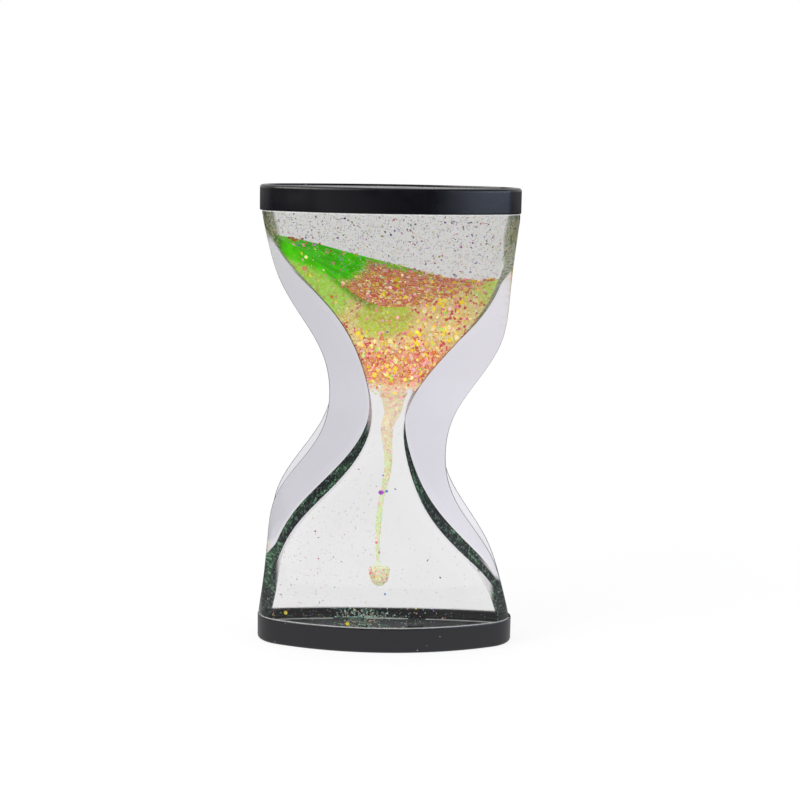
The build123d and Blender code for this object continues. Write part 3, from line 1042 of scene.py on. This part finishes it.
class GlitterSettings(bpy.types.PropertyGroup):
    """Colours and chance places of the flakes"""

    gold: FloatVectorProperty(
        name="Gold", description="Colour of the gold flakes", subtype="COLOR", default=(1.0, 0.82, 0.04),
    )
    copper: FloatVectorProperty(
        name="Copper", description="Colour of the copper flakes", subtype="COLOR",
        default=(0.82, 0.22, 0.07),
    )
    pink: FloatVectorProperty(
        name="Pink", description="Colour of the pink flakes", subtype="COLOR", default=(0.96, 0.30, 0.36),
    )
    violet: FloatVectorProperty(
        name="Violet", description="Colour of the violet flakes", subtype="COLOR",
        default=(0.36, 0.12, 0.60),
    )
    lime: FloatVectorProperty(
        name="Lime", description="Colour of the lime flakes", subtype="COLOR", default=(0.55, 0.92, 0.14),
    )
    seed: IntProperty(name="Seed", description="Start of the flakes' random places", default=7)


def film_surface(start, colour, metallic, painted_glow):
    """Brushed, metallised film with a faint painted glow that stands in for the light reaching it from all
    round.
    """
    brushed = noise(object_place(start), 5000.0, 1.0)
    return principled(start, {
        "Base Color": colour,
        "Metallic": metallic,
        "Roughness": brushed.ease(0.3, 0.7, 0.2, 0.4),
        "Specular IOR Level": 0.6,
        "Emission Color": colour,
        "Emission Strength": painted_glow,
    })


def film(name, colour):
    """Film of one colour: each flake takes its own shade, from that colour to part of the way to white."""
    material, start = new_finish(name)
    pale = [c + (1.0 - c) * 0.45 for c in colour]
    own = kept_value(start, "shade").ease(0.2, 1.0).mix(opaque(colour), opaque(pale))
    show(film_surface(start, own, 0.35, 0.28))
    return material


def mixed_film(name, colours):
    """Film of several colours: each flake's shade picks one of them."""
    material, start = new_finish(name)
    own = fleck_ramp(kept_value(start, "shade"), colours)
    show(film_surface(start, own, 0.3, 0.2))
    return material


def smooth_share(value, low, high):
    """Runs smoothly from 0 at low to 1 at high."""
    share = np.clip((value - low) / (high - low), 0.0, 1.0)
    return share * share * (3 - 2 * share)


def glitter_share(places, on_top):
    """How thick the glitter lies: thin on the clear green of the surface and on the front's pale left
    band and patch, thick elsewhere."""
    x, y, level = np.moveaxis(places, -1, 0)
    up = level - FRONT_LIFT
    clear_green = smooth_share(y * GREEN_LEAN - x - GREEN_EDGE, -GREEN_SOFT, GREEN_SOFT)
    left_band = smooth_share(x * BAND_ACROSS + (up - BAND_LEVEL) * BAND_UP - BAND_EDGE, *BAND_SOFT)
    patch = ((x - PATCH_X) / PATCH_WIDE) ** 2 + ((up - PATCH_LEVEL) / PATCH_TALL) ** 2
    patch = smooth_share(patch, *PATCH_SOFT[::-1])
    filled = smooth_share(level, POOL_FOOT + 0.5, POOL_FOOT + FOOT_FADE)
    in_stream = smooth_share(np.abs(x - STREAM_X), STREAM_FAR, STREAM_NEAR)
    thin = np.maximum(0.5 * left_band, 0.75 * patch)
    front = (1 - thin) * np.maximum(filled, 0.35 * in_stream)
    return np.where(on_top, 1 - 0.9 * clear_green, front)


class TIMER_OT_flakes(bpy.types.Operator):
    """Glitter flakes of five colours in the pool"""

    bl_idname = "liquid_timer.flakes"
    bl_label = "Pool glitter"

    def execute(self, context):
        settings = context.scene.timer_glitter
        rng = np.random.default_rng(settings.seed)
        for name, (count, small, large) in POOL_FLAKES.items():
            across = 0.04 + 0.92 * rng.random(count)
            up = rng.random(count) ** 0.7
            kind = rng.random(count)
            on_top = kind > TOP_FROM
            deep = np.where(kind < FRONT_UNTIL, 0.0, np.where(on_top, rng.random(count), 1.0))
            places = pool_sheet(across, deep, np.where(on_top, 1.0, up), POOL_GAP * 0.7)
            places[:, 2] += on_top * FLAKE_LIFT
            size = small + (large - small) * rng.random(count) ** 6
            outward = np.where(deep < 0.5, -1.0, 1.0)
            face = np.stack([np.zeros(count), np.where(on_top, -0.8, outward), on_top * 0.6], axis=-1)
            turns = random_turns(rng, face, 0.3)
            shades = rng.random(count)
            share = glitter_share(places, on_top)
            if name == "copper":
                share = share * np.where(on_top | (places[:, 2] < TIP_LEVEL), 1.0, COPPER_SHARE)
                on_green = on_top | (places[:, 0] < COPPER_X) & (places[:, 2] > COPPER_LEVEL)
                share = np.where(on_green & (size > COPPER_LARGE), 1.0, share)
            kept = rng.random(count) < share
            finish = film(name + "_film", getattr(settings, name))
            piece = flake_piece(
                name + "_flakes", places[kept], size[kept], turns[kept], shades[kept], finish
            )
            settle(piece, "timer", name + "_film", name + "_glitter")
        return {"FINISHED"}


# Trickle, drop, settled flakes and specks


def pale_liquid():
    """Pale yellow-green liquid that light passes through, with pink, orange and yellow flecks in it
    that lie thicker towards the pool. Liquid and flecks have a faint painted glow."""
    material, start = new_finish("pale_liquid")
    place = object_place(start)
    chance = first_of(cells(place, 1500.0, "Color"))
    cloud = noise(place, 240.0, 3.0)
    high = axis_mm(place, 2).ease(52.0, 72.0)
    flecks = fleck_ramp(chance, [
        (0.96, 0.9, 0.62), (1.0, 0.86, 0.42), (0.97, 0.66, 0.52), (0.97, 0.6, 0.6), (0.98, 0.8, 0.6),
        (0.92, 0.95, 0.7),
    ])
    tint = high.mix((0.66, 0.86, 0.46, 1.0), (0.95, 0.88, 0.7, 1.0))
    tint = cloud.ease(0.3, 0.7).mix(tint, (0.82, 0.88, 0.66, 1.0))
    liquid = principled(start, {
        "Base Color": tint,
        "Roughness": 0.25,
        "IOR": 1.02,
        "Transmission Weight": 0.4,
        # Painted light: a faint glow on the liquid and on its flecks
        "Emission Color": tint,
        "Emission Strength": 0.2,
    })
    speck = principled(start, {
        "Base Color": flecks, "Roughness": 0.35, "Normal": bump(chance, 0.3, 0.0002),
        "Emission Color": flecks, "Emission Strength": 0.25,
    })
    cover = chance.math("FRACT", chance * 17.0) < (high * 0.5 + 0.22)
    show(mixed(cover * 0.85, liquid, speck))
    return material


# Points and flakes of the thread and the drop, and the angles round a ring
THREAD_ROWS = 150
THREAD_FLAKES = 150
DROP_ROWS = 40
DROP_FLAKES = 130
RING_TURN = np.linspace(0.0, 2 * pi, 28, endpoint=False)

# Colours of their flakes, of which the last ones are kept for the stray flakes
RARE_COLOURS = 2
PALE_FLAKES = [
    (1.0, 0.82, 0.15), (0.96, 0.35, 0.38), (0.98, 0.6, 0.3), (1.0, 0.9, 0.55), (0.95, 0.2, 0.3),
    (0.95, 0.45, 0.55), (0.5, 0.1, 0.72), (0.12, 0.28, 0.7),
]
COMMON_SHADES = 1 - RARE_COLOURS / len(PALE_FLAKES)

# Large flakes that cling to the thread: across, height, width and number in the list above
STRAY_FLAKES = [
    (-1.5, 47.2, 1.7, 6), (0.1, 47.6, 0.9, 7), (0.5, 52.7, 1.1, 2), (-2.6, 31.6, 0.9, 4),
    (-1.0, 52.5, 0.6, 7),
]
STRAY_Y = -0.8


def ring_points(across, level, radius):
    """Level rings one above another, each with its middle, its height and its radius."""
    x = across[:, None] + radius[:, None] * np.cos(RING_TURN)
    y = radius[:, None] * np.sin(RING_TURN)
    return np.stack([x, y, np.broadcast_to(level[:, None], x.shape)], axis=-1)


def level_facing(rng, count):
    """Random level directions."""
    around = rng.random(count) * 2 * pi
    return np.stack([np.cos(around), np.sin(around), np.zeros(count)], axis=-1)


def make_thread(rng, liquid, finish):
    """Thread of liquid through the neck, and the flakes on it."""
    line = smooth_line(TRICKLE_POINTS, THREAD_ROWS)[::-1]
    points = ring_points(line[:, 0], line[:, 1], line[:, 2])
    thread = new_piece("trickle_thread", points, tube_faces(*points.shape[:2]), [liquid])
    thread.data.set_sharp_from_angle(angle=radians(50.0))
    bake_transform(thread)
    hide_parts("trickle")
    pick = np.minimum(rng.random(THREAD_FLAKES) ** 0.6 * (THREAD_ROWS - 1), THREAD_ROWS - 2).astype(int)
    facing = level_facing(rng, THREAD_FLAKES)
    places = facing * line[pick, 2, None]
    places[:, 0] += line[pick, 0]
    places[:, 2] = line[pick, 1]
    size = 0.3 + 0.5 * rng.random(THREAD_FLAKES) ** 3
    turns = random_turns(rng, facing, 0.2)
    shades = rng.random(THREAD_FLAKES) * COMMON_SHADES
    stray = np.array(STRAY_FLAKES)
    clinging = np.stack([stray[:, 0], np.full(len(stray), STRAY_Y), stray[:, 1]], axis=-1)
    to_front = np.broadcast_to([0.0, -1.0, 0.0], clinging.shape)
    places = np.concatenate([places, clinging])
    size = np.concatenate([size, stray[:, 2]])
    turns = np.concatenate([turns, random_turns(rng, to_front, 0.1)])
    shades = np.concatenate([shades, (stray[:, 3] + 0.5) / len(PALE_FLAKES)])
    flakes = flake_piece("stream_flakes", places, size, turns, shades, finish)
    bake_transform(flakes)


def make_drop(rng, liquid, finish):
    """Falling drop, and the flakes on it."""
    outline = smooth_line(DROP_OUTLINE, DROP_ROWS)
    level = DROP_FOOT + DROP_HEIGHT * np.clip(outline[:, 1], 0.0, 1.0)
    points = ring_points(np.full(DROP_ROWS, DROP_X), level, DROP_RADIUS * outline[:, 0])
    drop = new_piece("drop", points, grid_faces(*points.shape[:2], False, True), [liquid])
    close_seams(drop)
    settle(drop, "drop", "pale_liquid", "falling_drop")
    up = rng.random(DROP_FLAKES) ** 0.7 * 0.9 + 0.05
    out = np.interp(up, outline[:, 1], outline[:, 0]) * DROP_RADIUS
    facing = level_facing(rng, DROP_FLAKES)
    places = facing * out[:, None] + np.array([DROP_X, 0.0, DROP_FOOT])
    places[:, 2] += up * DROP_HEIGHT
    turns = random_turns(rng, facing, 0.2)
    size = 0.35 + 0.45 * rng.random(DROP_FLAKES) ** 2
    shades = rng.random(DROP_FLAKES) * COMMON_SHADES
    piece = flake_piece("drop_flakes", places, size, turns, shades, finish)
    settle(piece, "drop", "mixed_film", "drop_glitter")


class TIMER_OT_trickle(bpy.types.Operator):
    """Thread of liquid that runs through the neck, and the drop that falls from it"""

    bl_idname = "liquid_timer.trickle"
    bl_label = "Trickle and drop"

    def execute(self, context):
        rng = np.random.default_rng(context.scene.timer_glitter.seed + 1)
        liquid = pale_liquid()
        finish = mixed_film("stream_film", PALE_FLAKES)
        make_thread(rng, liquid, finish)
        make_drop(rng, liquid, finish)
        return {"FINISHED"}


# Settled flakes: how many lie on the floor and how many cling to the wall behind it, the middle, the
# two spreads and the reach of their heap, and how far they climb the wall
ON_FLOOR = 520
ON_WALL = 380
HEAP_X = -5.8
HEAP_SPREADS = (3.6, 13.0)
HEAP_REACH = 32.0
HEAP_CLIMB = 3.0
SETTLED_COLOURS = [
    (0.2, 0.42, 0.3), (0.38, 0.6, 0.46), (0.1, 0.26, 0.19), (0.52, 0.74, 0.66), (0.2, 0.4, 0.37),
    (0.1, 0.2, 0.17), (0.7, 0.38, 0.34), (0.95, 0.75, 0.03),
]

# Two large yellow flakes among them, the first on the wall and the second on the floor
YELLOW_X = (-28.2, -10.6)
YELLOW_Y = -2.6
YELLOW_CLIMB = 1.3
YELLOW_WIDTH = 1.3
YELLOW_SHADE = 0.95


class TIMER_OT_settled(bpy.types.Operator):
    """Flakes that lie on the lower plate and cling to the foot of the wall behind it"""

    bl_idname = "liquid_timer.settled"
    bl_label = "Settled glitter"

    def execute(self, context):
        rng = np.random.default_rng(context.scene.timer_glitter.seed + 2)
        count = ON_FLOOR + ON_WALL
        wall = np.arange(count) >= ON_FLOOR
        wall[0] = True
        spread = np.where(rng.random(count) < 0.6, *HEAP_SPREADS)
        x = np.clip(HEAP_X + spread * rng.normal(size=count), -HEAP_REACH, HEAP_REACH)
        x[:2] = YELLOW_X
        reach = np.maximum(half_depth(x, CHAMBER_INSET) - np.where(wall, 0.4, 1.2), 0.2)
        y = np.where(wall, 1.0, rng.random(count) * 2 - 1) * reach
        y[1] = YELLOW_Y
        on_plug = np.zeros(count, bool)
        for plug_x, plug_radius in PLUGS:
            on_plug |= np.hypot(x - plug_x, y) < plug_radius + 0.4
        facing = np.where(wall[:, None], [0.0, -1.0, 0.2], [0.0, -0.3, 1.0])
        facing[:2] = (0.0, -1.0, 0.3)
        turns = random_turns(rng, facing, 0.25)
        size = 0.16 + 0.2 * rng.random(count) + 0.4 * rng.random(count) ** 16
        size[:2] = YELLOW_WIDTH
        lean = np.sqrt(1 - turns[:, 2, 2] ** 2)
        climb = wall * HEAP_CLIMB * rng.random(count) ** 2
        climb[0] = YELLOW_CLIMB
        level = FLOOR + 0.04 + on_plug * PLUG_STAND + lean * size / 2 + climb
        places = np.stack([x, y, level], axis=-1)
        finish = mixed_film("settled_film", SETTLED_COLOURS)
        shades = rng.random(count) * 0.9
        shades[:2] = YELLOW_SHADE
        piece = flake_piece("settled_flakes", places, size, turns, shades, finish)
        settle(piece, "timer", "mixed_film", "settled_glitter")
        return {"FINISHED"}


# Specks adrift in the clear liquid: name, how many are tried, and the lowest and the highest level
SPECKS = [("upper_specks", 7000, 108.0, 134.2), ("lower_specks", 2000, 6.5, 70.0)]
SPECK_COLOURS = [
    (0.3, 0.18, 0.62), (0.2, 0.32, 0.62), (0.85, 0.3, 0.35), (0.2, 0.45, 0.45), (0.95, 0.8, 0.25),
    (0.3, 0.28, 0.32), (0.6, 0.22, 0.62), (0.95, 0.6, 0.5), (0.36, 0.34, 0.3), (0.95, 0.85, 0.4),
]
SPECK_THICKNESS = 0.04

# Level between the upper and the lower ones, and their least distances to the walls and the thread
SPECK_SPLIT = 90.0
WALL_CLEARANCE = 0.9
THREAD_CLEARANCE = 4.2


class TIMER_OT_specks(bpy.types.Operator):
    """Fine specks of glitter adrift in the clear liquid, above the pool and round the falling drop"""

    bl_idname = "liquid_timer.specks"
    bl_label = "Drifting specks"

    def execute(self, context):
        rng = np.random.default_rng(context.scene.timer_glitter.seed + 3)
        finish = mixed_film("speck_film", SPECK_COLOURS)
        for name, count, low, high in SPECKS:
            x = (rng.random(count) * 2 - 1) * CHAMBER_HALF
            level = low + (high - low) * rng.random(count)
            y = (rng.random(count) * 2 - 1) * half_depth(x, CHAMBER_INSET + 0.6)
            turns = random_turns(rng, rng.normal(size=(count, 3)), 0.0)
            size = 0.15 + 0.15 * rng.random(count) + 0.6 * rng.random(count) ** 16
            shades = rng.random(count)
            inside = x < right_wall(level) - WALL_CLEARANCE
            inside &= x > left_wall(level) + WALL_CLEARANCE
            upper = level > SPECK_SPLIT
            apart = np.hypot(x - DROP_X, y) > THREAD_CLEARANCE
            clear = np.where(upper, level > pool_top(x, y) + 0.5, apart)
            thin = (level < SPECK_SPLIT) & (x > -3.0)
            kept = inside & clear & (rng.random(count) < np.where(thin, 0.35, 1.0))
            places = np.stack([x, y, level], axis=-1)[kept]
            piece = flake_piece(
                name, places, size[kept], turns[kept], shades[kept], finish, SPECK_THICKNESS
            )
            settle(piece, "timer", "mixed_film")
        return {"FINISHED"}


# Stage


class StageSettings(bpy.types.PropertyGroup):
    """Lens and light of the stage"""

    lens: FloatProperty(
        name="Lens", description="Focal length in millimetres", unit="CAMERA", default=83.07,
    )
    backdrop: FloatVectorProperty(
        name="Backdrop", description="Colour of the floor and the backdrop", subtype="COLOR",
        default=(1.0, 1.0, 1.0),
    )
    fill: FloatProperty(name="Fill", description="Plain light from all round", default=0.9)
    inside: FloatProperty(name="Inside", description="Light that the glass lets in", default=1.6)


# The camera as fitted to the photograph: its place, its direction and its roll in radians
CAMERA_PLACE = Vector((-3.66, -558.68, 159.25)) * MM
CAMERA_FORWARD = Vector((0.01315, 0.9887, -0.1492)).normalized()
CAMERA_ROLL = 0.0169

# The stage's floor: half its size, its points along a side and its height
FLOOR_REACH = 12000.0
FLOOR_POINTS = 9
FLOOR_LEVEL = -0.05

# Lamps: name, place in metres, width, height, power and colour, and the place that they face
LAMPS = [
    ("key", (-0.8, -0.6, 0.8), 0.8, 0.8, 8.0, (1.0, 1.0, 1.0)),
    ("side", (0.87, -0.52, 0.32), 0.9, 0.42, 3.2, (0.66, 0.76, 1.0)),
]
LAMP_AIM = Vector((0, 0, 0.07))


def light_path(start, output):
    """One answer of the Light Path node."""
    return start.node("ShaderNodeLightPath", None, None, output)


def ray_kinds(start):
    """Whether a ray comes straight to the camera, through glass or off a gloss."""
    return [light_path(start, f"Is {kind} Ray") for kind in ("Camera", "Transmission", "Glossy")]


def place_camera(scene, settings):
    """Camera at the photograph's place: its axes are the level right and the up of its direction, both
    turned by the roll."""
    camera = bpy.data.cameras.new("camera")
    camera.lens = settings.lens
    camera.sensor_width = 36.0
    camera.clip_start = 0.05
    camera.clip_end = 50.0
    right = CAMERA_FORWARD.cross(Vector((0, 0, 1))).normalized()
    up = right.cross(CAMERA_FORWARD)
    rolled_right = right * cos(CAMERA_ROLL) + up * sin(CAMERA_ROLL)
    rolled_up = up * cos(CAMERA_ROLL) - right * sin(CAMERA_ROLL)
    turn = Matrix((rolled_right, rolled_up, -CAMERA_FORWARD)).transposed()
    holder = bpy.data.objects.new("camera", camera)
    holder.matrix_world = Matrix.Translation(CAMERA_PLACE) @ turn.to_4x4()
    scene.collection.objects.link(holder)
    scene.camera = holder


def pale_floor(settings):
    """Floor that looks white save for the soft shadow under the timer, and lights it from below."""
    material, start = new_finish("pale_floor")
    place = object_place(start)
    across = axis_of(place, 0)
    deep = axis_of(place, 1)
    away = across.math("SQRT", across * across + deep * deep)
    near = away.ease(0.1, 0.3, 0.58, 0.02)
    eye, glass, gloss = ray_kinds(start)
    shown = eye.largest(glass)
    lit = start.node("ShaderNodeBsdfDiffuse", None, {"Color": (0.9, 0.9, 0.9, 1.0)})
    white = start.node("ShaderNodeEmission", None, {
        "Color": opaque(settings.backdrop), "Strength": shown + (1 - shown) * near,
    })
    far = away.ease(0.15, 0.5, 0.85, 1.0)
    seen = eye * far + (1 - eye) * glass.largest(gloss)
    show(mixed(seen, lit, white))
    span = np.linspace(-FLOOR_REACH, FLOOR_REACH, FLOOR_POINTS)
    x, y = np.meshgrid(span, span)
    points = np.stack([x, y, np.full(x.shape, FLOOR_LEVEL)], axis=-1)
    floor = new_piece("floor", points, grid_faces(*x.shape, False, False), [material])


def studio_world(settings):
    """White backdrop. Through the glass it has a faint grey band. In reflections it is dark in front and
    pale behind. As plain light it has the fill's strength, and where that light comes through the glass
    to the pieces in it, the inside's strength."""
    world = bpy.data.worlds.new("studio")
    world.use_nodes = True
    world.node_tree.nodes.clear()
    start = Wire(world.node_tree)
    eye, glass, gloss = ray_kinds(start)
    inside = glass * (light_path(start, "Diffuse Depth") > 0.5)
    around = start.node("ShaderNodeTexCoord", None, None, "Generated")
    rise = axis_of(around, 2)
    gap = rise.ease(0.005, 0.05) * rise.ease(0.22, 0.5, 1.0, 0.0)
    room = axis_of(around, 1).ease(-0.25, 0.3, 0.03, 0.85)
    view = glass * (1 - gap * 0.25) + (1 - glass) * gloss * room
    soft = (1 - glass.largest(gloss)) * settings.fill
    level = eye + (1 - eye) * ((1 - inside) * (view + soft) + inside * settings.inside)
    white = start.node("ShaderNodeBackground", None, {
        "Color": opaque(settings.backdrop), "Strength": level,
    })
    start.node("ShaderNodeOutputWorld", None, {"Surface": white})
    return world


def place_lamps(scene):
    """Soft lamps that face the timer's middle."""
    for name, place, wide, tall, power, tint in LAMPS:
        light = bpy.data.lights.new(name, "AREA")
        light.energy = power
        light.color = tint
        light.shape = "RECTANGLE"
        light.size = wide
        light.size_y = tall
        lamp = bpy.data.objects.new(name, light)
        lamp.location = place
        lamp.rotation_euler = (LAMP_AIM - Vector(place)).to_track_quat("-Z", "Y").to_euler()
        scene.collection.objects.link(lamp)


class TIMER_OT_stage(bpy.types.Operator):
    """Camera, pale floor, backdrop and soft light"""

    bl_idname = "liquid_timer.stage"
    bl_label = "Stage"

    def execute(self, context):
        scene = context.scene
        settings = scene.timer_stage
        scene.view_settings.view_transform = "Standard"
        place_camera(scene, settings)
        pale_floor(settings)
        scene.world = studio_world(settings)
        place_lamps(scene)
        return {"FINISHED"}


# Add-on


class TIMER_PT_tools(bpy.types.Panel):
    """Buttons that make the timer's pieces"""

    bl_idname = "TIMER_PT_tools"
    bl_label = "Liquid motion timer"
    bl_space_type = "VIEW_3D"
    bl_region_type = "UI"
    bl_category = "Timer"

    def draw(self, context):
        for operator in OPERATORS:
            self.layout.operator(operator.bl_idname)


OPERATORS = [
    TIMER_OT_stage, TIMER_OT_vessel, TIMER_OT_caps, TIMER_OT_pool, TIMER_OT_flakes, TIMER_OT_trickle,
    TIMER_OT_settled, TIMER_OT_specks,
]
SETTINGS = {
    "timer_vessel": VesselSettings, "timer_caps": CapSettings, "timer_pool": PoolSettings,
    "timer_glitter": GlitterSettings, "timer_stage": StageSettings,
}


def register():
    """Makes the settings, the operators and the panel known to Blender."""
    for group in (*SETTINGS.values(), *OPERATORS, TIMER_PT_tools):
        bpy.utils.register_class(group)
    for name, group in SETTINGS.items():
        setattr(bpy.types.Scene, name, PointerProperty(type=group))


def unregister():
    """Takes them away again."""
    for name in SETTINGS:
        delattr(bpy.types.Scene, name)
    for group in (TIMER_PT_tools, *reversed(OPERATORS), *SETTINGS.values()):
        bpy.utils.unregister_class(group)


def main():
    """Makes the stage and all pieces."""
    register()
    bpy.ops.liquid_timer.stage()
    bpy.ops.liquid_timer.vessel()
    bpy.ops.liquid_timer.caps()
    bpy.ops.liquid_timer.pool()
    bpy.ops.liquid_timer.flakes()
    bpy.ops.liquid_timer.trickle()
    bpy.ops.liquid_timer.settled()
    bpy.ops.liquid_timer.specks()


if __name__ == "__main__":
    main()
